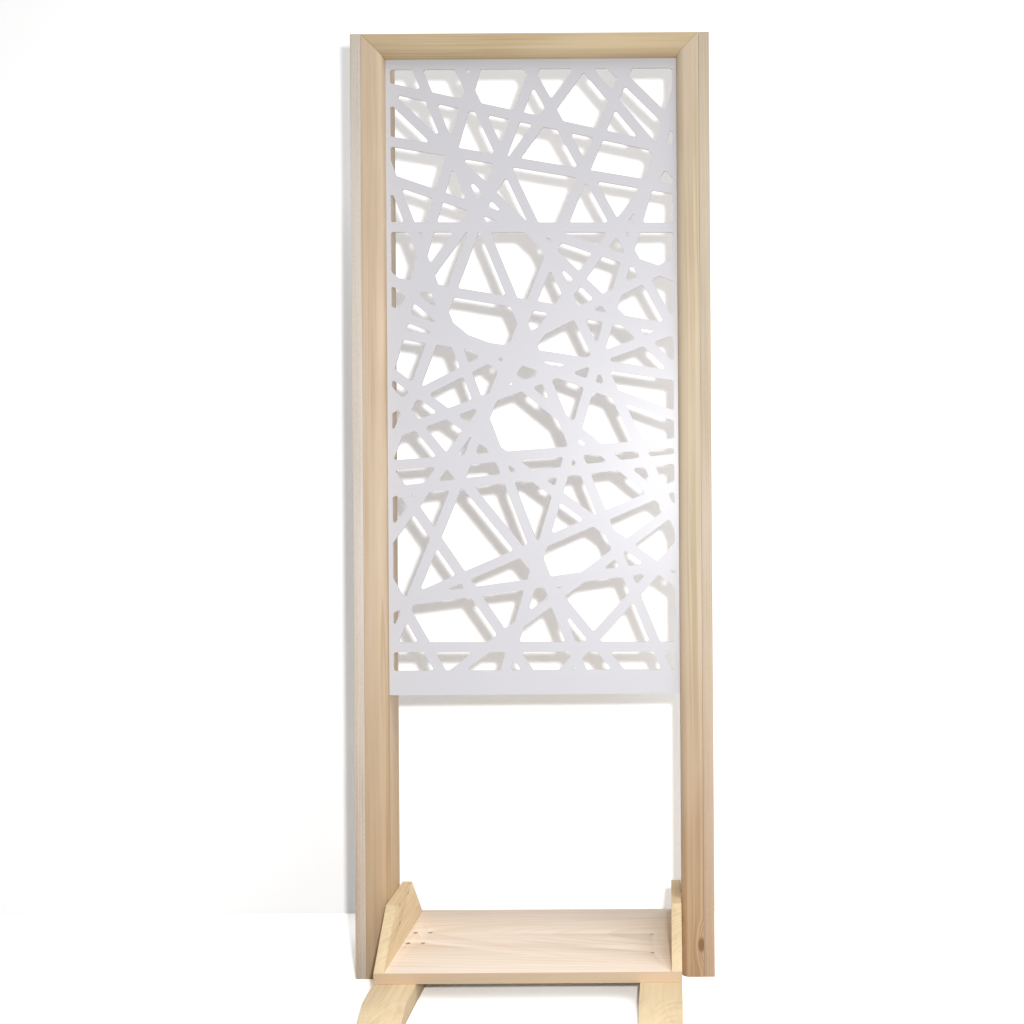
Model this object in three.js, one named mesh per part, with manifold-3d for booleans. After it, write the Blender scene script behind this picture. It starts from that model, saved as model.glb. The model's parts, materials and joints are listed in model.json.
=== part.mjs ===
// Free-standing garden privacy screen: a pine frame round a pierced white sheet,
// standing on two flat feet that also carry a plant shelf. Millimetres, +Z up.
// X runs across the screen, the viewer stands on the -Y side, Z = 0 is the ground.

import * as THREE from 'three';
import { mergeVertices } from 'three/addons/utils/BufferGeometryUtils.js';
import Module from 'manifold-3d';

// ---- driving dimensions -------------------------------------------------------------

const SCREEN_HEIGHT = 1700;
const CLEAR_WIDTH = 608; // between the two side boards
const FRAME_DEPTH = 90;
const GAP = 0.3; // joint gap between pieces that touch

const BOARD_THICKNESS = 19; // planed pine board, used for the sides, trims and top rail
const POST_WIDTH = 40;
const RAIL_HEIGHT = 42;

const TRIM_WIDTH = 40;
const TRIM_ROUND = 15; // radius of the rounded inner front edge
const TRIM_ROUND_STEPS = 5;

const SHELF_DEPTH = 304; // as far in front of the frame as behind it
const SHELF_THICKNESS = 18; // of the shelf and its cheeks

const FOOT_WIDTH = 72;
const FOOT_HEIGHT = 35;
const FOOT_OVERHANG = { front: 118, rear: 104 }; // beyond the shelf
const FOOT_BEVEL = 52; // length of the slope down to each tip
const FOOT_TOE = 7; // height left at the tip

const CHEEK_HEIGHT = 86;
const CHEEK_TOP = 128; // length of its level top edge

const SHEET_THICKNESS = 4;
const SHEET_BOTTOM = 507; // height of its lower edge above the ground
const SHEET_TUCK = 36; // hidden behind each trim
const BAR_WIDTH = 18;
const FIELD_MARGIN = { side: 8, top: 17, bottom: 44 }; // plain rim seen round the piercing
const SMALLEST_HOLE = 18; // square millimetres; where the bars leave less, it stays closed
const HOLE_CORNER = 5;

// Centre lines of the bars left between the holes: where each one meets the edges of the
// part of the sheet that shows, measured from its lower left corner [x, z, x, z].
const BARS = [
  // nearly level
  [0, 1104, 528, 985],
  [0, 1007, 528, 915],
  [0, 940, 528, 756],
  [0, 850, 528, 846],
  [0, 752, 528, 661],
  [0, 699, 528, 501],
  [0, 659, 528, 576],
  [0, 518, 528, 785],
  [0, 471, 528, 663],
  [0, 417, 528, 455],
  [0, 369, 528, 427],
  [0, 167, 528, 235],
  [0, 156, 528, 380],
  [0, 87, 528, 85],
  // falling to the right
  [0, 1094, 528, 582],
  [352, 1153, 528, 940],
  [398, 1153, 528, 1024],
  [0, 764, 528, 326],
  [0, 591, 528, 199],
  [0, 556, 451, 0],
  [0, 410, 281, 0],
  [0, 208, 117, 0],
  [0, 968, 365, 0],
  [51, 1153, 521, 0],
  [127, 1153, 528, 300],
  [251, 1153, 528, 646],
  // rising to the right
  [0, 661, 366, 1153],
  [0, 281, 528, 994],
  [63, 0, 528, 341],
  [279, 0, 528, 270],
  [0, 427, 277, 1153],
  [0, 579, 169, 1153],
  [0, 78, 445, 1153],
  [198, 0, 528, 1094],
];

const LONGEST_EASE = 1 / 3; // of a hole's edge, at most, is taken up by a corner

const SCREW = { head: 8.5, headHeight: 3.5, shank: 4, tip: 6, sides: 10 };
const SCREW_LENGTH = 45;
const RAIL_SCREW_LENGTH = 80;
const SCREW_CLEARANCE = 0.15;
const SCREW_SINK = 0.4; // heads stand this far below the wood
const BORE_OVERRUN = 1; // a bore is cut from this far outside the wood's face
// y counts from the middle of the shelf's depth in both lists of screws.
const SHELF_SCREWS = {
  left: [[-233, 35], [-205, 35], [-235, -16], [-208, -16]], // x, y
  right: [[208, 20], [211, -67]],
};
const CHEEK_SCREWS = [[-32, 42], [-32, 75], [34, 75]]; // y, height above the shelf
const SIDE_SCREW_HEIGHTS = [120, 480, 850, 1220, 1580];
const RAIL_SCREW_SPREAD = 10; // above and below the rail's middle

const WELD_DISTANCE = 1e-4; // corners closer than this are one corner

// ---- places worked out from them ----------------------------------------------------

const FOOT_END = (SHELF_DEPTH + FOOT_OVERHANG.front + FOOT_OVERHANG.rear) / 2; // from y = 0
const FRAME_MIDDLE = (FOOT_OVERHANG.front - FOOT_OVERHANG.rear) / 2; // the shelf's too
const FRAME_FRONT = FRAME_MIDDLE - FRAME_DEPTH / 2;
const FRAME_BACK = FRAME_MIDDLE + FRAME_DEPTH / 2;
const POST_FRONT = FRAME_FRONT + BOARD_THICKNESS + GAP; // the sheet's front too
const POST_REBATE = POST_FRONT + SHEET_THICKNESS + GAP;
const POST_INNER = CLEAR_WIDTH / 2 - POST_WIDTH;
const POST_MIDDLE = (POST_REBATE + FRAME_BACK) / 2;
const RAIL_MIDDLE = POST_REBATE + BOARD_THICKNESS / 2; // the rail backs the sheet's top edge
const WINDOW_WIDTH = CLEAR_WIDTH - 2 * TRIM_WIDTH;
const SHEET_WIDTH = WINDOW_WIDTH + 2 * SHEET_TUCK;
const SHEET_TOP = SCREEN_HEIGHT - TRIM_WIDTH + SHEET_TUCK;
const WINDOW_HEIGHT = SCREEN_HEIGHT - TRIM_WIDTH - SHEET_BOTTOM;
const SHELF_END = POST_INNER - 2 * GAP; // clears the trims as well as the posts
const SHELF_UNDERSIDE = FOOT_HEIGHT + GAP;
const SHELF_TOP = SHELF_UNDERSIDE + SHELF_THICKNESS;
const CHEEK_INNER = SHELF_END - SHELF_THICKNESS;
const SIDES = { left: -1, right: 1 };

// ---- finishes -----------------------------------------------------------------------

const finish = (color, roughness) => () =>
  new THREE.MeshStandardMaterial({ color, roughness, metalness: 0 });
const sawnPine = finish(0xd7cbb8, 0.85);
const planedPine = finish(0xdcc4a0, 0.65);
const shelfPine = finish(0xecd9ba, 0.65);
const whiteCoat = finish(0xf2f1f3, 0.45);
const zincSteel = () =>
  new THREE.MeshStandardMaterial({ color: 0xb9b28f, roughness: 0.4, metalness: 0.9 });

// ---- solids -------------------------------------------------------------------------

const wasm = await Module();
wasm.setup();

function toSolid(geometry) {
  const bare = geometry.clone();
  bare.deleteAttribute('normal');
  bare.deleteAttribute('uv');
  const welded = mergeVertices(bare, WELD_DISTANCE);
  const vertProperties = new Float32Array(welded.attributes.position.array);
  const triVerts = new Uint32Array(welded.index.array);
  return new wasm.Manifold(new wasm.Mesh({ numProp: 3, vertProperties, triVerts }));
}

function toGeometry(solid) {
  const { vertProperties, triVerts } = solid.getMesh();
  const geometry = new THREE.BufferGeometry();
  geometry.setAttribute('position', new THREE.BufferAttribute(vertProperties, 3));
  geometry.setIndex(new THREE.BufferAttribute(triVerts, 1));
  return geometry;
}

function cutBy(mesh, cutters) {
  mesh.updateMatrixWorld(true);
  const intoMesh = mesh.matrixWorld.clone().invert();
  let solid = toSolid(mesh.geometry);
  for (const cutter of cutters) {
    solid = solid.subtract(toSolid(cutter.clone().applyMatrix4(intoMesh)));
  }
  mesh.geometry = toGeometry(solid);
}

const screen = new THREE.Group();
const pieces = {};

function place(name, geometry, material, x, y, z) {
  const mesh = new THREE.Mesh(geometry, material);
  mesh.name = name;
  mesh.position.set(x, y, z);
  pieces[name] = mesh;
  screen.add(mesh);
  return mesh;
}

function board(width, depth, height) {
  return new THREE.BoxGeometry(width, depth, height).translate(0, 0, height / 2);
}

// A side outline in (y, z), given thickness along X and centred on it.
function sidePanel(outline, thickness) {
  const shape = new THREE.Shape(outline.map(([y, z]) => new THREE.Vector2(y, z)));
  const geometry = new THREE.ExtrudeGeometry(shape, { depth: thickness, bevelEnabled: false });
  geometry.translate(0, 0, -thickness / 2);
  return geometry.rotateX(Math.PI / 2).rotateZ(Math.PI / 2);
}

// A front outline in (x, z), given depth along Y and centred on it.
function frontPanel(outline, depth) {
  const shape = new THREE.Shape(outline.map(([x, z]) => new THREE.Vector2(x, z)));
  const geometry = new THREE.ExtrudeGeometry(shape, { depth, bevelEnabled: false });
  return geometry.translate(0, 0, -depth / 2).rotateX(Math.PI / 2);
}

// ---- frame --------------------------------------------------------------------------

function postOutline() {
  return [
    [POST_FRONT, 0],
    [FRAME_BACK, 0],
    [FRAME_BACK, SCREEN_HEIGHT],
    [POST_REBATE, SCREEN_HEIGHT],
    [POST_REBATE, SHEET_BOTTOM - GAP],
    [POST_FRONT, SHEET_BOTTOM - GAP],
  ];
}

function addFrame() {
  const boardX = (CLEAR_WIDTH + BOARD_THICKNESS) / 2;
  const postX = POST_INNER + (POST_WIDTH - GAP) / 2;
  for (const [side, sign] of Object.entries(SIDES)) {
    const sideBoard = board(BOARD_THICKNESS, FRAME_DEPTH, SCREEN_HEIGHT);
    place(`side_board_${side}`, sideBoard, sawnPine(), sign * boardX, FRAME_MIDDLE, 0);
    const post = sidePanel(postOutline(), POST_WIDTH - GAP);
    place(`post_${side}`, post, planedPine(), sign * postX, 0, 0);
  }
  const rail = board(2 * (POST_INNER - GAP), BOARD_THICKNESS, RAIL_HEIGHT);
  place('top_rail', rail, planedPine(), 0, RAIL_MIDDLE, SCREEN_HEIGHT - RAIL_HEIGHT);
}

// ---- trims: flat moulding with a rounded inner edge, mitred where two of them meet ----

function trimProfile() {
  const flat = TRIM_WIDTH - TRIM_ROUND;
  const shape = new THREE.Shape();
  shape.moveTo(0, 0);
  shape.lineTo(flat, 0);
  shape.absarc(flat, TRIM_ROUND, TRIM_ROUND, -Math.PI / 2, 0, false);
  shape.lineTo(TRIM_WIDTH, BOARD_THICKNESS);
  shape.lineTo(0, BOARD_THICKNESS);
  return shape;
}

// Lies along +Z from 0 with its outer edge on x = 0; a mitred end slopes back by x.
function trim(length, mitreStart) {
  const settings = { depth: length, bevelEnabled: false, curveSegments: TRIM_ROUND_STEPS };
  const geometry = new THREE.ExtrudeGeometry(trimProfile(), settings);
  const position = geometry.attributes.position;
  for (let i = 0; i < position.count; i += 1) {
    const across = position.getX(i);
    if (position.getZ(i) > length / 2) position.setZ(i, length - across);
    else if (mitreStart) position.setZ(i, across);
  }
  return geometry;
}

function addTrims() {
  const reach = CLEAR_WIDTH / 2 - GAP;
  const left = place('trim_left', trim(SCREEN_HEIGHT - GAP, false), planedPine(),
    -reach, FRAME_FRONT, 0);
  const mirrored = left.geometry.clone().scale(-1, 1, 1);
  place('trim_right', flipFaces(mirrored), planedPine(), reach, FRAME_FRONT, 0);
  const top = trim(2 * reach, true).rotateY(Math.PI / 2);
  place('trim_top', top, planedPine(), -reach, FRAME_FRONT, SCREEN_HEIGHT);
}

function flipFaces(geometry) {
  const flipped = mergeVertices(geometry);
  const corners = flipped.index.array;
  for (let i = 0; i < corners.length; i += 3) {
    [corners[i], corners[i + 1]] = [corners[i + 1], corners[i]];
  }
  return flipped;
}

// ---- pierced sheet: straight bars cross it, and what they leave between them is open ---

function keepLeftOf(polygon, from, along) {
  const side = (p) => along.x * (p.y - from.y) - along.y * (p.x - from.x);
  const kept = [];
  polygon.forEach((point, i) => {
    const next = polygon[(i + 1) % polygon.length];
    const here = side(point);
    const there = side(next);
    if (here >= 0) kept.push(point);
    if (here * there < 0) kept.push(point.clone().lerp(next, here / (here - there)));
  });
  return kept;
}

function splitByBar(cell, [x0, z0, x1, z1]) {
  const start = new THREE.Vector2(x0, z0);
  const along = new THREE.Vector2(x1, z1).sub(start).normalize();
  const half = new THREE.Vector2(-along.y, along.x).multiplyScalar(BAR_WIDTH / 2);
  const above = keepLeftOf(cell, start.clone().add(half), along);
  const below = keepLeftOf(cell, start.clone().sub(half), along.clone().negate());
  return [above, below];
}

function openings() {
  const { side, top, bottom } = FIELD_MARGIN;
  const right = WINDOW_WIDTH - side;
  const upper = WINDOW_HEIGHT - top;
  const corners = [[side, bottom], [right, bottom], [right, upper], [side, upper]];
  let cells = [corners.map(([x, z]) => new THREE.Vector2(x, z))];
  for (const bar of BARS) {
    cells = cells.flatMap((cell) => splitByBar(cell, bar)).filter((cell) => cell.length > 2);
  }
  return cells.filter((cell) => THREE.ShapeUtils.area(cell) > SMALLEST_HOLE);
}

// The hole's outline with each corner eased by a short chord.
function easedOutline(cell) {
  const outline = [];
  cell.forEach((corner, i) => {
    const before = cell[(i + cell.length - 1) % cell.length];
    const after = cell[(i + 1) % cell.length];
    const toBefore = before.clone().sub(corner);
    const toAfter = after.clone().sub(corner);
    const tangent = HOLE_CORNER / Math.tan(toBefore.angleTo(toAfter) / 2);
    const shorter = Math.min(toBefore.length(), toAfter.length());
    const cut = Math.min(tangent / 2, shorter * LONGEST_EASE);
    outline.push(corner.clone().add(toBefore.setLength(cut)));
    outline.push(corner.clone().add(toAfter.setLength(cut)));
  });
  return outline;
}

function addSheet() {
  const half = SHEET_WIDTH / 2;
  const sheet = new THREE.Shape([
    new THREE.Vector2(-half, SHEET_BOTTOM),
    new THREE.Vector2(half, SHEET_BOTTOM),
    new THREE.Vector2(half, SHEET_TOP),
    new THREE.Vector2(-half, SHEET_TOP),
  ]);
  const windowCorner = new THREE.Vector2(-WINDOW_WIDTH / 2, SHEET_BOTTOM);
  for (const cell of openings()) {
    const outline = easedOutline(cell).map((point) => point.add(windowCorner));
    sheet.holes.push(new THREE.Path(outline));
  }
  const settings = { depth: SHEET_THICKNESS, bevelEnabled: false };
  const geometry = new THREE.ExtrudeGeometry(sheet, settings).rotateX(Math.PI / 2);
  place('privacy_sheet', geometry, whiteCoat(), 0, POST_FRONT + SHEET_THICKNESS, 0);
}

// ---- base: two feet, the shelf on them and a cheek at each end of it --------------------

function footOutline() {
  const crease = FOOT_END - FOOT_BEVEL;
  return [
    [-FOOT_END, 0],
    [FOOT_END, 0],
    [FOOT_END, FOOT_TOE],
    [crease, FOOT_HEIGHT],
    [-crease, FOOT_HEIGHT],
    [-FOOT_END, FOOT_TOE],
  ];
}

// Each cheek's seat lies lower than the rest of the top by the joint gap.
function shelfOutline() {
  const seatEdge = CHEEK_INNER - GAP;
  const seatHeight = SHELF_THICKNESS - GAP;
  return [
    [-SHELF_END, 0],
    [SHELF_END, 0],
    [SHELF_END, seatHeight],
    [seatEdge, seatHeight],
    [seatEdge, SHELF_THICKNESS],
    [-seatEdge, SHELF_THICKNESS],
    [-seatEdge, seatHeight],
    [-SHELF_END, seatHeight],
  ];
}

function cheekOutline() {
  return [
    [-SHELF_DEPTH / 2, 0],
    [SHELF_DEPTH / 2, 0],
    [CHEEK_TOP / 2, CHEEK_HEIGHT],
    [-CHEEK_TOP / 2, CHEEK_HEIGHT],
  ];
}

function addBase() {
  const shelf = frontPanel(shelfOutline(), SHELF_DEPTH);
  place('plant_shelf', shelf, shelfPine(), 0, FRAME_MIDDLE, SHELF_UNDERSIDE);
  const footX = SHELF_END - FOOT_WIDTH / 2;
  const cheekX = CHEEK_INNER + SHELF_THICKNESS / 2;
  for (const [side, sign] of Object.entries(SIDES)) {
    const foot = sidePanel(footOutline(), FOOT_WIDTH);
    place(`foot_${side}`, foot, planedPine(), sign * footX, 0, 0);
    const cheek = sidePanel(cheekOutline(), SHELF_THICKNESS);
    place(`cheek_${side}`, cheek, planedPine(), sign * cheekX, FRAME_MIDDLE, SHELF_TOP);
  }
}

// ---- countersunk screws, each in a bore that fits it -------------------------------------

// Turned about Z, from [radius, height] pairs that start and end on the axis.
function turned(profile) {
  const points = profile.map(([radius, height]) => new THREE.Vector2(radius, height));
  return new THREE.LatheGeometry(points, SCREW.sides).rotateX(Math.PI / 2);
}

// The head's flat face is at 0 and the point below it.
function screwGeometry(length) {
  const shank = SCREW.shank / 2;
  return turned([
    [0, -length],
    [shank, SCREW.tip - length],
    [shank, -SCREW.headHeight],
    [SCREW.head / 2, 0],
    [0, 0],
  ]);
}

function boreGeometry(length) {
  const head = SCREW.head / 2 + SCREW_CLEARANCE;
  const shank = SCREW.shank / 2 + SCREW_CLEARANCE;
  const mouth = SCREW_SINK + BORE_OVERRUN;
  return turned([
    [0, -length - SCREW_CLEARANCE],
    [shank, SCREW.tip - length],
    [shank, -SCREW.headHeight],
    [head, -SCREW_CLEARANCE],
    [head, mouth],
    [0, mouth],
  ]);
}

// heads: where each screw enters the wood; towards: the way the heads look.
function addScrews(name, length, heads, towards, through) {
  const turn = new THREE.Quaternion().setFromUnitVectors(new THREE.Vector3(0, 0, 1), towards);
  const settle = (geometry, head) => {
    const { x, y, z } = head.clone().addScaledVector(towards, -SCREW_SINK);
    return geometry.applyQuaternion(turn).translate(x, y, z);
  };
  heads.forEach((head, i) => {
    const geometry = settle(screwGeometry(length), head);
    place(`${name}_${i + 1}`, geometry, zincSteel(), 0, 0, 0);
  });
  const bores = heads.map((head) => settle(boreGeometry(length), head));
  for (const piece of through) cutBy(pieces[piece], bores);
}

function addAllScrews() {
  const up = new THREE.Vector3(0, 0, 1);
  const boardFace = CLEAR_WIDTH / 2 + BOARD_THICKNESS;
  const postFace = CLEAR_WIDTH / 2 - GAP;
  const railZ = SCREEN_HEIGHT - RAIL_HEIGHT / 2;
  for (const [side, sign] of Object.entries(SIDES)) {
    const outwards = new THREE.Vector3(sign, 0, 0);
    const inwards = outwards.clone().negate();

    const shelfHeads = SHELF_SCREWS[side].map(
      ([x, y]) => new THREE.Vector3(x, FRAME_MIDDLE + y, SHELF_TOP));
    addScrews(`shelf_screw_${side}`, SCREW_LENGTH, shelfHeads, up,
      ['plant_shelf', `foot_${side}`]);

    const cheekX = sign * CHEEK_INNER;
    const cheekHeads = CHEEK_SCREWS.map(
      ([y, height]) => new THREE.Vector3(cheekX, FRAME_MIDDLE + y, SHELF_TOP + height));
    addScrews(`cheek_screw_${side}`, SCREW_LENGTH, cheekHeads, inwards,
      [`cheek_${side}`, `trim_${side}`, `post_${side}`]);

    const sideHeads = SIDE_SCREW_HEIGHTS.map(
      (z) => new THREE.Vector3(sign * boardFace, POST_MIDDLE, z));
    addScrews(`side_screw_${side}`, SCREW_LENGTH, sideHeads, outwards,
      [`side_board_${side}`, `post_${side}`]);

    const railHeads = [-RAIL_SCREW_SPREAD, RAIL_SCREW_SPREAD].map(
      (rise) => new THREE.Vector3(sign * postFace, RAIL_MIDDLE, railZ + rise));
    addScrews(`rail_screw_${side}`, RAIL_SCREW_LENGTH, railHeads, outwards,
      [`post_${side}`, 'top_rail']);
  }
}

addFrame();
addTrims();
addSheet();
addBase();
addAllScrews();

export default screen;
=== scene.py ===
"""Garden privacy screen: pine frame, pierced white sheet, plant shelf on two flat feet.

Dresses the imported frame: every board gets eased edges and its own pine, the sheet a
satin coat, and the screws a cross recess. Metres, +Z up.
"""

import json
import math

import bmesh
import bpy
from mathutils import Euler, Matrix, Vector


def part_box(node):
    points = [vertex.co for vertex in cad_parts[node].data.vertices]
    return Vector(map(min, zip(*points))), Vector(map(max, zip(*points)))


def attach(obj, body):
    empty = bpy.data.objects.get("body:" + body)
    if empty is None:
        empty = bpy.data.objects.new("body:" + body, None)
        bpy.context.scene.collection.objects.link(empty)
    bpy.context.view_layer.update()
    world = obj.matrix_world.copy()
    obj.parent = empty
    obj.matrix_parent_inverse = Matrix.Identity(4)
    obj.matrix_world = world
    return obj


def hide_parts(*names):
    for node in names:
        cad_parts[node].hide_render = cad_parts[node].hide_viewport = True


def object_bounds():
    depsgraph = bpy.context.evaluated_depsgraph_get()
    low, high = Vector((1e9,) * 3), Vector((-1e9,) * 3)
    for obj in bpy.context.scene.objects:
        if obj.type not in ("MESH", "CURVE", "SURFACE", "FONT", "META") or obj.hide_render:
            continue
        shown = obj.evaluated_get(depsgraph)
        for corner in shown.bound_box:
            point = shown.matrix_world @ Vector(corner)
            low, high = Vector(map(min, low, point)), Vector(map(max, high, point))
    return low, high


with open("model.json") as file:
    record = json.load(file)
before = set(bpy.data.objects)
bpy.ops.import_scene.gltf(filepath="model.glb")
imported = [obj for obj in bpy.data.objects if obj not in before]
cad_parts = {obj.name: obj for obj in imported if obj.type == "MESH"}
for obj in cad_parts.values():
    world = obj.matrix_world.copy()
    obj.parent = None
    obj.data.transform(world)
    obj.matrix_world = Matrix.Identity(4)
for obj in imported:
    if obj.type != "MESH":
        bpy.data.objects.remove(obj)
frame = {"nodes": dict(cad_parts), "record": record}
cad_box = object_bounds()

# ---- sizes, in metres -----------------------------------------------------------------

BOARD_EDGE = 0.0009  # the most that a planed board's edges are eased; its bores may allow less
SHELF_EDGE = 0.00014  # the step under each cheek is 0.3 mm high and leaves room for no more
EASED_ANGLE = math.radians(40)  # edges sharper than this are eased
FLAT_ANGLE = math.radians(0.5)  # triangles this near to one plane become one face
MERGE_DISTANCE = 1e-5  # corners closer than this become one

SCREW_SIDES = 24
TIP_RADIUS = 0.0001
SCREW_SIZES = {
    "Length": 0.045,
    "Head": 0.0085,
    "Head Height": 0.0035,
    "Shank": 0.004,
    "Tip": 0.006,
    "Recess Span": 0.0048,
    "Recess Width": 0.0012,
    "Recess Depth": 0.0016,
}
RAIL_SCREW_LENGTH = 0.080

board_low, board_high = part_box("side_board_left")
FRAME_MIDDLE = (board_low.y + board_high.y) / 2

# The camera looks along +Y; where it stands and its lens are fitted to the photo.
EYE = Vector((0.2476, FRAME_MIDDLE - 2.095, 0.851))
IMAGE_SIZE = 1024
FOCAL_PIXELS = 1140
PRINCIPAL_PIXEL = (670, 504)
SENSOR = 36.0
CAMERA_ROLL = math.radians(0.37)

WALL_BEHIND = 0.03  # behind the feet's rear ends
FLOOR_REACH = 6.0


# ---- node trees -----------------------------------------------------------------------


class Value:
    """A socket; arithmetic on it adds Math nodes."""

    def __init__(self, builder, socket):
        self.builder = builder
        self.socket = socket

    def maths(self, operation, *others):
        return self.builder.node("ShaderNodeMath", {"operation": operation}, self, *others)

    def after(self, operation, first):
        return self.builder.node("ShaderNodeMath", {"operation": operation}, first, self)

    def __add__(self, other):
        return self.maths("ADD", other)

    def __radd__(self, other):
        return self.after("ADD", other)

    def __sub__(self, other):
        return self.maths("SUBTRACT", other)

    def __rsub__(self, other):
        return self.after("SUBTRACT", other)

    def __mul__(self, other):
        return self.maths("MULTIPLY", other)

    def __rmul__(self, other):
        return self.after("MULTIPLY", other)

    def __truediv__(self, other):
        return self.maths("DIVIDE", other)

    def __pow__(self, other):
        return self.maths("POWER", other)


class Builder:
    """Adds nodes to a tree, settings first, then what its sockets hold or are linked to."""

    def __init__(self, tree):
        self.tree = tree

    def node(self, kind, settings, *inputs, out=0, **named):
        made = self.tree.nodes.new(kind)
        for name, value in settings.items():
            setattr(made, name, value)
        for index, value in enumerate(inputs):
            self.feed(made.inputs[index], value)
        for name, value in named.items():
            self.feed(made.inputs[name.replace("_", " ")], value)
        return Value(self, made.outputs[out])

    def feed(self, socket, value):
        if isinstance(value, Value):
            self.tree.links.new(value.socket, socket)
        else:
            socket.default_value = value

    def vector(self, x, y, z):
        return self.node("ShaderNodeCombineXYZ", {}, x, y, z)


class Surface(Builder):
    """A material whose nodes are added by code."""

    def __init__(self, name):
        self.material = bpy.data.materials.new(name)
        self.material.use_nodes = True
        super().__init__(self.material.node_tree)
        self.shader = self.tree.nodes["Principled BSDF"]

    def set(self, **sockets):
        for name, value in sockets.items():
            self.feed(self.shader.inputs[name.replace("_", " ")], value)

    def place(self):
        """The point in metres, and its x, y and z."""
        point = self.node("ShaderNodeTexCoord", {}, out=3)
        outputs = self.node("ShaderNodeSeparateXYZ", {}, point).socket.node.outputs
        return point, [Value(self, outputs[axis]) for axis in range(3)]

    def noise(self, point, scale, detail=2.0):
        return self.node("ShaderNodeTexNoise", {}, Vector=point, Scale=scale, Detail=detail)

    def blend(self, amount, first, second):
        made = self.tree.nodes.new("ShaderNodeMix")
        made.data_type = "RGBA"
        for index, value in ((0, amount), (6, first), (7, second)):
            self.feed(made.inputs[index], value)
        return Value(self, made.outputs[2])

    def ramp(self, value, low, high):
        """0 below low, 1 above high, smooth between."""
        settings = {"interpolation_type": "SMOOTHSTEP"}
        return self.node("ShaderNodeMapRange", settings, value, low, high, 0.0, 1.0)

    def bump(self, height, depth):
        made = self.node("ShaderNodeBump", {}, Strength=1.0, Distance=depth, Height=height)
        self.set(Normal=made)


# ---- finishes -------------------------------------------------------------------------


def linear(red, green, blue):
    """An sRGB colour, 0 to 255, as the shader's colour."""

    def straight(level):
        share = level / 255
        return share / 12.92 if share <= 0.04045 else ((share + 0.055) / 1.055) ** 2.4

    return (straight(red), straight(green), straight(blue), 1.0)


KNOT_BROWN = linear(124, 88, 56)
KNOT_STRETCH = 2.2  # a knot's eye is this much longer than wide
# painted shade: a darker brown for the shelf's front face, standing in for the shade it gets while
# its top is lit from above
PAINTED_FRONT_SHADE = linear(196, 164, 124)
PAINTED_SHADE_DEPTH = (0.0009, 0.0018)  # how deep behind the front edge the painted shade fades out
TONE_HEIGHTS = (0.05, 0.85)  # the wood turns from its low to its high tones between these
GRAIN_RELIEF = 0.00018
FINE_RELIEF = 0.00003  # of the sheet's coat and the screws' plating


def pine(node, grain, tones, rings=0.0055, wave=0.010, figure=0.45, cone=0.004,
         pith=(0.05, 0.06), sawn=0.0, knots=(), front=0.0):
    """Pine cut along the grain axis, its year rings round a pith beside the board.

    tones are the pale and dark wood, low down and then high up. knots are
    (along, across, radius) in metres. sawn is how rough the face is, and front how
    strongly its front face gets a painted shade in darker brown.
    """
    wood = Surface(node)
    seed = 3.7 + 2.3 * (sum(map(ord, node)) % 17)  # so that boards differ
    point, xyz = wood.place()
    low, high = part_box(node)
    centre = (low + high) / 2
    along = xyz[grain]
    across_axis, depth_axis = [axis for axis in range(3) if axis != grain]
    across = xyz[across_axis] - centre[across_axis]
    depth = xyz[depth_axis] - centre[depth_axis]

    def drawn_out(lengthwise, crosswise, detail=2.0):
        """Noise drawn out along the grain, with that many cells a metre each way."""
        stretched = wood.vector(along * lengthwise + seed, across * crosswise, depth * crosswise)
        return wood.noise(stretched, 1.0, detail)

    # The rings sway along the board and bend round its knots.
    sway = (drawn_out(1.3, 6.0) - 0.5) * wave
    eye = 0.0
    for knot_along, knot_across, radius in knots:
        stretch = (along - knot_along) / KNOT_STRETCH
        far = (stretch**2.0 + (across - (knot_across - centre[across_axis])) ** 2.0) ** 0.5
        eye = 1.0 - wood.ramp(far, radius * 0.6, radius * 1.3)
        sway = sway + (1.0 - wood.ramp(far, radius, radius * 4.0)) * (radius * 1.1)

    # Each ring darkens slowly into its late wood and ends sharply; some stretches stay calm.
    deep = depth + along * cone + pith[1]
    reach = ((across - pith[0]) ** 2.0 + deep**2.0) ** 0.5 + sway
    uneven = wood.noise(wood.vector(reach * 70.0, seed, 0.0), 1.0, 1.0)
    turn = (reach / rings + uneven * 3.0).maths("FRACT")
    late = wood.ramp(turn, 0.30, 0.90) * (1.0 - wood.ramp(turn, 0.91, 1.0))
    late = late * wood.ramp(drawn_out(1.5, 22.0, 1.0), 0.30, 0.72)

    fibre = drawn_out(8.0, 600.0, 3.0)
    streak = drawn_out(2.5, 90.0)
    patch = drawn_out(4.0, 14.0)
    shade = late * figure + (fibre - 0.5) * 0.4 + (streak - 0.5) * 0.7 + (patch - 0.5) * 0.6
    if sawn:
        shade = shade + (wood.noise(point, 330.0, 2.0) - 0.5) * sawn
    shade = wood.ramp(shade + 0.32, 0.0, 1.0)

    pale_low, dark_low, pale_high, dark_high = (linear(*tone) for tone in tones)
    low_tone = wood.blend(shade, pale_low, dark_low)
    high_tone = wood.blend(shade, pale_high, dark_high)
    colour = wood.blend(wood.ramp(xyz[2], *TONE_HEIGHTS), low_tone, high_tone)
    if knots:
        colour = wood.blend(eye * 0.8, colour, KNOT_BROWN)
    # painted shade: the front face and its eased edge are coloured darker brown, as if less light
    # fell on them
    if front:
        edge = 1.0 - wood.ramp(xyz[1] - low.y, *PAINTED_SHADE_DEPTH)
        colour = wood.blend(edge * front, colour, PAINTED_FRONT_SHADE)
    wood.set(Base_Color=colour, Roughness=0.62 + fibre * 0.18, Specular_IOR_Level=0.3)

    relief = late * 0.35 + fibre
    if sawn:
        relief = relief + wood.noise(point, 900.0, 3.0) * sawn
    wood.bump(relief, GRAIN_RELIEF)
    return wood.material


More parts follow.
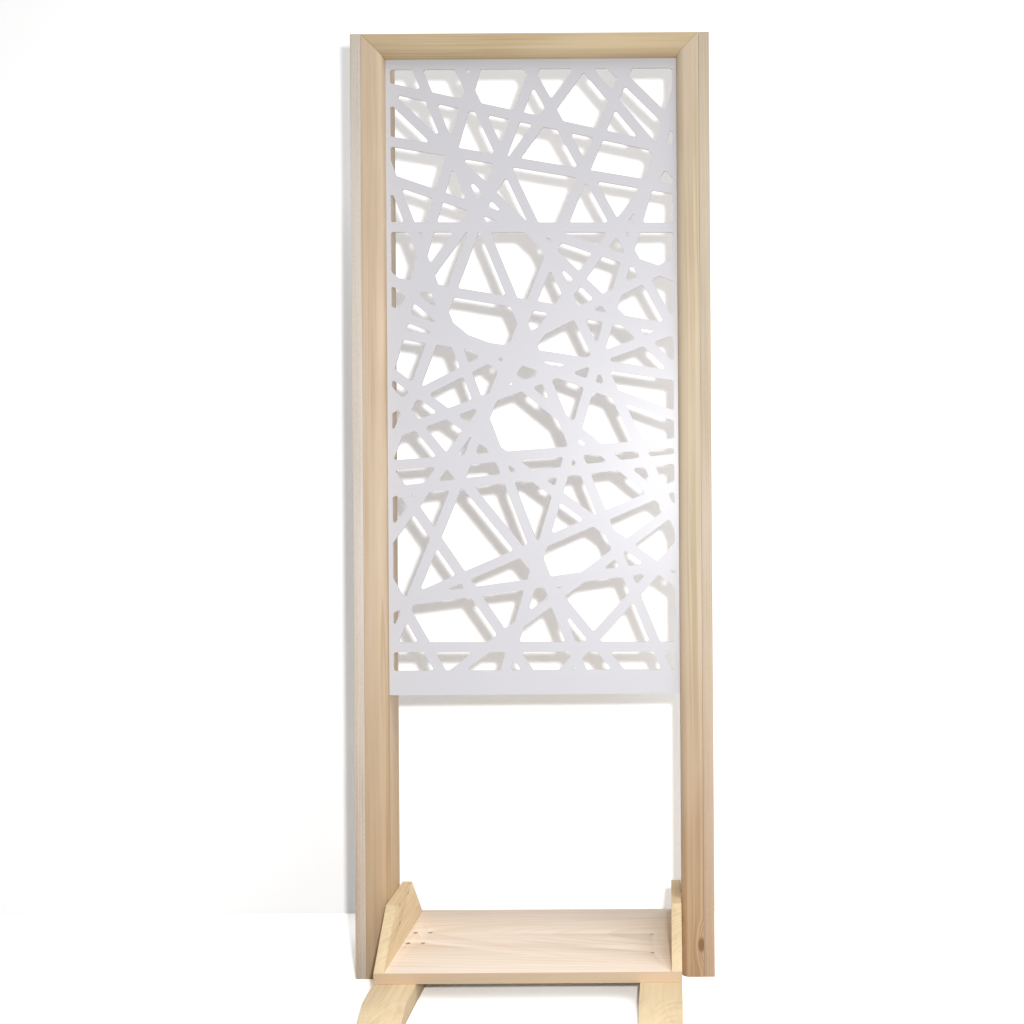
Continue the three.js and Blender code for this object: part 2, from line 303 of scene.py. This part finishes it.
def white_coat():
    """A satin sprayed coat, its skin very slightly uneven."""
    coat = Surface("white_coat")
    point, _ = coat.place()
    peel = coat.noise(point, 420.0)
    colour = coat.blend(coat.noise(point, 6.0), linear(213, 211, 216), linear(208, 207, 211))
    coat.set(Base_Color=colour, Roughness=0.36 + peel * 0.05, Specular_IOR_Level=0.5,
             Coat_Weight=0.2, Coat_Roughness=0.38)
    coat.bump(peel, FINE_RELIEF)
    return coat.material


def zinc():
    """Yellow zinc plating, stained here and there."""
    metal = Surface("screw_zinc")
    point, _ = metal.place()
    stain = metal.noise(point, 700.0, 3.0)
    colour = metal.blend(stain, linear(196, 186, 150), linear(150, 138, 104))
    metal.set(Base_Color=colour, Roughness=0.30 + stain * 0.25, Metallic=1.0)
    metal.bump(stain, FINE_RELIEF)
    return metal.material


X_GRAIN, Y_GRAIN, Z_GRAIN = 0, 1, 2

LEFT_BOARD = ((216, 199, 182), (186, 164, 142), (224, 214, 203), (200, 187, 170))
RIGHT_BOARD = ((212, 184, 156), (184, 152, 124), (218, 202, 180), (192, 174, 150))
LEFT_TRIM = ((212, 184, 150), (178, 146, 110), (220, 198, 172), (192, 168, 138))
RIGHT_TRIM = ((208, 178, 144), (174, 140, 108), (222, 204, 178), (196, 176, 146))
TOP_TRIM = ((216, 194, 158), (184, 158, 118), (218, 196, 160), (184, 158, 118))
POST = ((218, 190, 154), (186, 156, 118), (222, 204, 182), (196, 174, 146))
SHELF = ((251, 236, 220), (234, 213, 191)) * 2
BASE = ((236, 214, 178), (208, 182, 140)) * 2  # feet and cheeks


def pine_of(node):
    """Each board's own pine: where its grain runs, its colours and its knots."""
    if node == "side_board_left":
        return pine(node, Z_GRAIN, LEFT_BOARD, figure=0.35, sawn=0.5)
    if node == "side_board_right":
        return pine(node, Z_GRAIN, RIGHT_BOARD, figure=0.35, sawn=0.3, pith=(-0.05, 0.06))
    if node == "trim_left":
        return pine(node, Z_GRAIN, LEFT_TRIM)
    if node == "trim_right":
        return pine(node, Z_GRAIN, RIGHT_TRIM, pith=(-0.05, 0.06), knots=[(0.058, 0.299, 0.006)])
    if node.startswith("post"):
        return pine(node, Z_GRAIN, POST, wave=0.014)
    if node in ("trim_top", "top_rail"):
        return pine(node, X_GRAIN, TOP_TRIM)
    if node == "plant_shelf":
        # front=0.7 paints shade on the shelf's front face
        return pine(node, X_GRAIN, SHELF, rings=0.006, wave=0.012, figure=0.38,
                    cone=-0.07, pith=(0.02, 0.13), front=0.7)
    return pine(node, Y_GRAIN, BASE, wave=0.014, figure=0.22, pith=(0.03, 0.07))


# ---- pieces ---------------------------------------------------------------------------


def solid_copy(node):
    """A CAD node's mesh, its triangles merged back into flat faces."""
    mesh = frame["nodes"][node].data.copy()
    shape = bmesh.new()
    shape.from_mesh(mesh)
    bmesh.ops.remove_doubles(shape, verts=shape.verts, dist=MERGE_DISTANCE)
    bmesh.ops.dissolve_limit(shape, angle_limit=FLAT_ANGLE, verts=shape.verts, edges=shape.edges)
    shape.to_mesh(mesh)
    shape.free()
    return mesh


def linked(name, data):
    """A new object in the scene that holds this mesh, lamp or camera."""
    made = bpy.data.objects.new(name, data)
    bpy.context.scene.collection.objects.link(made)
    return made


def baked(piece):
    """The piece with its modifiers turned into plain mesh."""
    graph = bpy.context.evaluated_depsgraph_get()
    mesh = bpy.data.meshes.new_from_object(piece.evaluated_get(graph))
    piece.modifiers.clear()
    piece.data = mesh
    return piece


def eased(node, width):
    """A board's solid with its edges rounded, and smooth where it is round."""
    piece = linked(f"{node}_finished", solid_copy(node))
    for face in piece.data.polygons:
        face.use_smooth = True
    bevel = piece.modifiers.new("eased", "BEVEL")
    bevel.width = width
    bevel.segments = 2
    bevel.limit_method = "ANGLE"
    bevel.angle_limit = EASED_ANGLE
    bevel.harden_normals = True
    return baked(piece)


def finish_piece(piece, nodes, material):
    """Gives the piece one material, hides its CAD nodes so that it shows in their place, and hangs
    it on the root body.
    """
    piece.data.materials.clear()
    piece.data.materials.append(material)
    for face in piece.data.polygons:
        face.material_index = 0
    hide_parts(*nodes)
    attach(piece, "root")


slots = {entry["node"]: entry["material_slot"] for entry in frame["record"]["subparts"]}

for node, slot in slots.items():
    if slot.endswith("_pine"):
        edge = SHELF_EDGE if node == "plant_shelf" else BOARD_EDGE
        finish_piece(eased(node, edge), [node], pine_of(node))

sheet = linked("privacy_sheet_finished", solid_copy("privacy_sheet"))
finish_piece(sheet, ["privacy_sheet"], white_coat())


# ---- screws ---------------------------------------------------------------------------


def by_index(builder, *values):
    """The first value on point 0, the next on point 1, and so on."""
    switch = builder.node("GeometryNodeIndexSwitch", {"data_type": "FLOAT"})
    node = switch.socket.node
    while len(node.index_switch_items) < len(values):
        node.index_switch_items.new()
    builder.feed(node.inputs[0], builder.node("GeometryNodeInputIndex", {}))
    for index, value in enumerate(values):
        builder.feed(node.inputs[index + 1], value)
    return Value(builder, node.outputs[0])


def screw_tree(steel):
    """Countersunk screws with a cross recess, one on each point, heads looking its way."""
    tree = bpy.data.node_groups.new("wood_screws", "GeometryNodeTree")
    tree.interface.new_socket("Points", in_out="INPUT", socket_type="NodeSocketGeometry")
    for name in SCREW_SIZES:
        tree.interface.new_socket(name, in_out="INPUT", socket_type="NodeSocketFloat")
    tree.interface.new_socket("Screws", in_out="OUTPUT", socket_type="NodeSocketGeometry")
    screw = Builder(tree)
    entry = tree.nodes.new("NodeGroupInput")
    size = {name: Value(screw, entry.outputs[name]) for name in SCREW_SIZES}

    shank = size["Shank"] / 2.0
    radius = by_index(screw, TIP_RADIUS, shank, shank, size["Head"] / 2.0)
    end = 0.0 - size["Length"]
    height = by_index(screw, end, end + size["Tip"], 0.0 - size["Head Height"], 0.0)
    line = screw.node("GeometryNodeMeshLine", {}, Count=4)
    axis = screw.node("GeometryNodeMeshToCurve", {}, line)
    axis = screw.node("GeometryNodeSetPosition", {}, axis, Position=screw.vector(0.0, 0.0, height))
    ring = screw.node("GeometryNodeCurvePrimitiveCircle", {}, Resolution=SCREW_SIDES, Radius=1.0)
    turned = screw.node("GeometryNodeCurveToMesh", {}, axis, ring, Scale=radius, Fill_Caps=True)

    arms = []
    for across in (("Recess Span", "Recess Width"), ("Recess Width", "Recess Span")):
        x, y = (size[name] for name in across)
        block = screw.vector(x, y, size["Recess Depth"] * 2.0)
        arms.append(screw.node("GeometryNodeMeshCube", {}, block))
    cut = screw.node("GeometryNodeMeshBoolean", {"operation": "DIFFERENCE"}, turned)
    for arm in arms:
        tree.links.new(arm.socket, cut.socket.node.inputs["Mesh 2"])

    towards = screw.node(
        "GeometryNodeInputNamedAttribute", {"data_type": "FLOAT_VECTOR"}, Name="towards"
    )
    turn = screw.node("FunctionNodeAlignRotationToVector", {"axis": "Z"}, Vector=towards)
    points = Value(screw, entry.outputs["Points"])
    placed = screw.node(
        "GeometryNodeInstanceOnPoints", {}, points, Instance=cut, Rotation=turn
    )
    placed = screw.node("GeometryNodeRealizeInstances", {}, placed)
    placed = screw.node("GeometryNodeSetMaterial", {}, placed, Material=steel)
    tree.links.new(placed.socket, tree.nodes.new("NodeGroupOutput").inputs["Screws"])
    return tree


def head_of(node):
    """Where the middle of a screw's head is, and the way the head looks."""
    low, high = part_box(node)
    middle = (low + high) / 2
    side = Vector((-1.0 if "_left_" in node else 1.0, 0.0, 0.0))
    if node.startswith("shelf_screw"):
        towards = Vector((0.0, 0.0, 1.0))
    else:
        towards = -side if node.startswith("cheek_screw") else side
    reach = (high - low) / 2
    return middle + Vector([part * way for part, way in zip(reach, towards)]), towards


def add_screws(name, nodes, length, tree, steel):
    """One piece that holds the screws of all these nodes."""
    heads = [head_of(node) for node in nodes]
    mesh = bpy.data.meshes.new(name)
    mesh.from_pydata([place for place, _ in heads], [], [])
    way = mesh.attributes.new("towards", "FLOAT_VECTOR", "POINT")
    for value, (_, towards) in zip(way.data, heads):
        value.vector = towards
    piece = linked(name, mesh)
    made = piece.modifiers.new("screws", "NODES")
    made.node_group = tree
    sizes = {**SCREW_SIZES, "Length": length}
    for item in tree.interface.items_tree:
        if item.name in sizes:
            made[item.identifier] = sizes[item.name]
    finish_piece(baked(piece), nodes, steel)


screw_finish = zinc()
screws = screw_tree(screw_finish)
screw_nodes = [node for node, slot in slots.items() if slot == "screw_zinc"]
long_screws = [node for node in screw_nodes if node.startswith("rail_screw")]
short_screws = [node for node in screw_nodes if node not in long_screws]
add_screws("short_screws", short_screws, SCREW_SIZES["Length"], screws, screw_finish)
add_screws("rail_screws", long_screws, RAIL_SCREW_LENGTH, screws, screw_finish)


# ---- stage ----------------------------------------------------------------------------

# How bright the paper looks to the camera, for the light it gets.
FLOOR_SHOWN = 1.9
WALL_SHOWN = 1.5
FLOOR_BOUNCE = 0.35  # what the floor throws back at the screen
WALL_BOUNCE = 0.8

# The key hangs by the eye, so each hole shows the same rim of shadow; it is aimed low
# because the feet are the farthest from it.
KEY_PLACE = EYE + Vector((0.125, 0.0, 0.156))
KEY_TARGET = Vector((0.0, 0.0, 0.55))
KEY_SIZE = 0.08
KEY_POWER = 27

SKY_TOWARDS = Vector((0.48, -0.45, 0.75))
SKY_ANGLE = math.radians(40)
SKY_STRENGTH = 1.2
WORLD_LIGHT = 0.28


def shows_background(builder):
    """1 for what the camera sees, straight or in a reflection, and 0 for light."""
    outputs = builder.node("ShaderNodeLightPath", {}).socket.node.outputs
    seen = [Value(builder, outputs[f"Is {kind} Ray"]) for kind in ("Camera", "Glossy")]
    through = Value(builder, outputs["Is Transmission Ray"])
    return seen[0] + seen[1] + through


def paper(name, bounce, shown):
    """White paper that shadows fall on; from behind it is clear."""
    white = Surface(name)
    thrown, seen = ((level, level, level, 1.0) for level in (bounce, shown))
    colour = white.blend(shows_background(white), thrown, seen)
    matt = white.node("ShaderNodeBsdfDiffuse", {}, colour)
    clear = white.node("ShaderNodeBsdfTransparent", {})
    behind = white.node("ShaderNodeNewGeometry", {}, out=6)
    mix = white.node("ShaderNodeMixShader", {}, behind, matt, clear)
    white.feed(white.tree.nodes["Material Output"].inputs["Surface"], mix)
    return white.material


def paper_plane(name, corners, bounce, shown):
    mesh = bpy.data.meshes.new(name)
    mesh.from_pydata(corners, [], [(0, 1, 2, 3)])
    mesh.materials.append(paper(name, bounce, shown))
    linked(name, mesh)


wall_y = cad_box[1][1] + WALL_BEHIND
near, far = -FLOOR_REACH, FLOOR_REACH
ground = [(near, near, 0), (far, near, 0), (far, far, 0), (near, far, 0)]
wall = [(near, wall_y, 0), (far, wall_y, 0), (far, wall_y, far), (near, wall_y, far)]
paper_plane("floor", ground, FLOOR_BOUNCE, FLOOR_SHOWN)
paper_plane("backdrop", wall, WALL_BOUNCE, WALL_SHOWN)


def add_key():
    data = bpy.data.lights.new("key", "AREA")
    data.shape = "DISK"
    data.size = KEY_SIZE
    data.energy = KEY_POWER
    key = linked("key", data)
    key.location = KEY_PLACE
    key.rotation_euler = (KEY_TARGET - KEY_PLACE).to_track_quat("-Z", "Y").to_euler()


def add_sky():
    """Even light from a wide patch of sky in front of the screen, high on its right."""
    data = bpy.data.lights.new("sky", "SUN")
    data.angle = SKY_ANGLE
    data.energy = SKY_STRENGTH
    sky = linked("sky", data)
    sky.rotation_euler = SKY_TOWARDS.to_track_quat("Z", "Y").to_euler()


def add_world():
    """Weak even light from all round that the camera sees as white."""
    world = bpy.data.worlds.new("studio")
    bpy.context.scene.world = world
    world.use_nodes = True
    studio = Builder(world.node_tree)
    background = world.node_tree.nodes["Background"].inputs
    strength = WORLD_LIGHT + shows_background(studio) * (1.0 - WORLD_LIGHT)
    studio.feed(background["Strength"], strength)
    studio.feed(background["Color"], (1.0, 1.0, 1.0, 1.0))


add_key()
add_sky()
add_world()

# ---- camera ---------------------------------------------------------------------------

camera_data = bpy.data.cameras.new("camera")
camera_data.sensor_width = SENSOR
camera_data.lens = FOCAL_PIXELS / IMAGE_SIZE * SENSOR
camera_data.shift_x = (IMAGE_SIZE / 2 - PRINCIPAL_PIXEL[0]) / IMAGE_SIZE
camera_data.shift_y = (PRINCIPAL_PIXEL[1] - IMAGE_SIZE / 2) / IMAGE_SIZE
camera = linked("camera", camera_data)
camera.location = EYE
level = Euler((math.radians(90), 0.0, 0.0)).to_quaternion()
camera.rotation_euler = (level @ Euler((0.0, 0.0, -CAMERA_ROLL)).to_quaternion()).to_euler()
bpy.context.scene.camera = camera

bpy.context.scene.view_settings.view_transform = "Standard"
